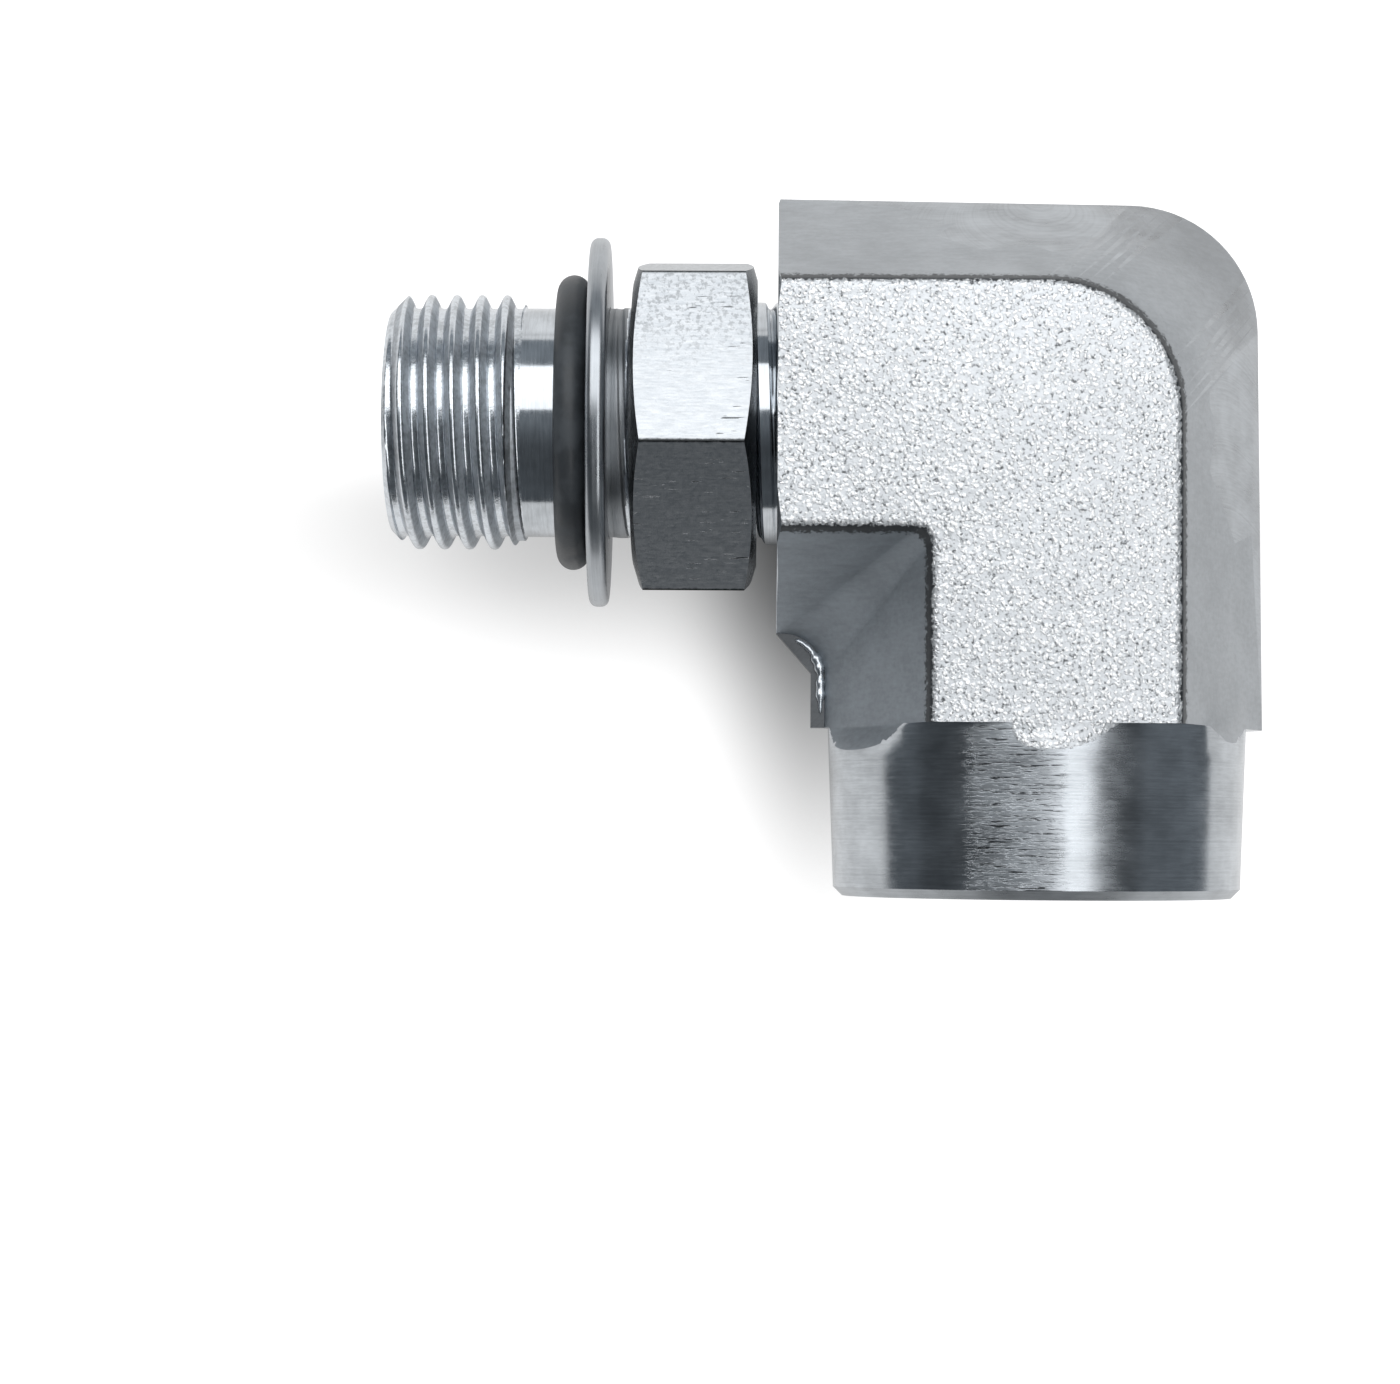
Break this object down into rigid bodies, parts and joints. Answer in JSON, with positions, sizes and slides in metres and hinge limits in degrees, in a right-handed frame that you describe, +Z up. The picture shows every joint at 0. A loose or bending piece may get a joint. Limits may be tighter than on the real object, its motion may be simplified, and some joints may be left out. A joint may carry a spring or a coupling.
{
  "type": "hydraulic adapter elbow",
  "caption": "Right-angle forged hydraulic adapter: an adjustable male stud with locknut, backup washer and O-ring at one end, a round female pipe port at the other.",
  "frame": {"origin": "on the female port's axis, on the plane where its countersink ends and its thread starts, halfway between the two forged flats", "axes": "-X along the stud, out of its free end; -Y out of the female port; +Z up, square to the forging's parting plane, with the part lying on its rear flat"},
  "size_m": [0.0485, 0.0389, 0.0232],
  "materials": {
    "plated_forging": "shot-blasted and turned steel under bright zinc plate",
    "plated_nut": "bar steel under bright zinc plate",
    "plated_washer": "stamped steel under dull zinc plate",
    "nitrile_rubber": "satin black"
  },
  "bodies": {
    "fitting": {"elbow_body": "plated_forging"},
    "washer_group": {"backup_washer": "plated_washer", "o_ring": "nitrile_rubber"},
    "nut": {"locknut": "plated_nut"}
  },
  "joints": [
    {"name": "washer_slide", "type": "slide", "parent": "fitting", "child": "washer_group", "axis": [1, 0, 0], "range_m": [-0.0019, 0.001]},
    {"name": "locknut_turn", "type": "hinge", "parent": "washer_group", "child": "nut", "pos_m": [-0.01908, 0.02495, 0], "axis": [1, 0, 0], "range_deg": [-480, 250]}
  ],
  "couplings": [
    {"joint": "washer_slide", "follows": "locknut_turn", "m_per_rad": 0.00022458}
  ]
}
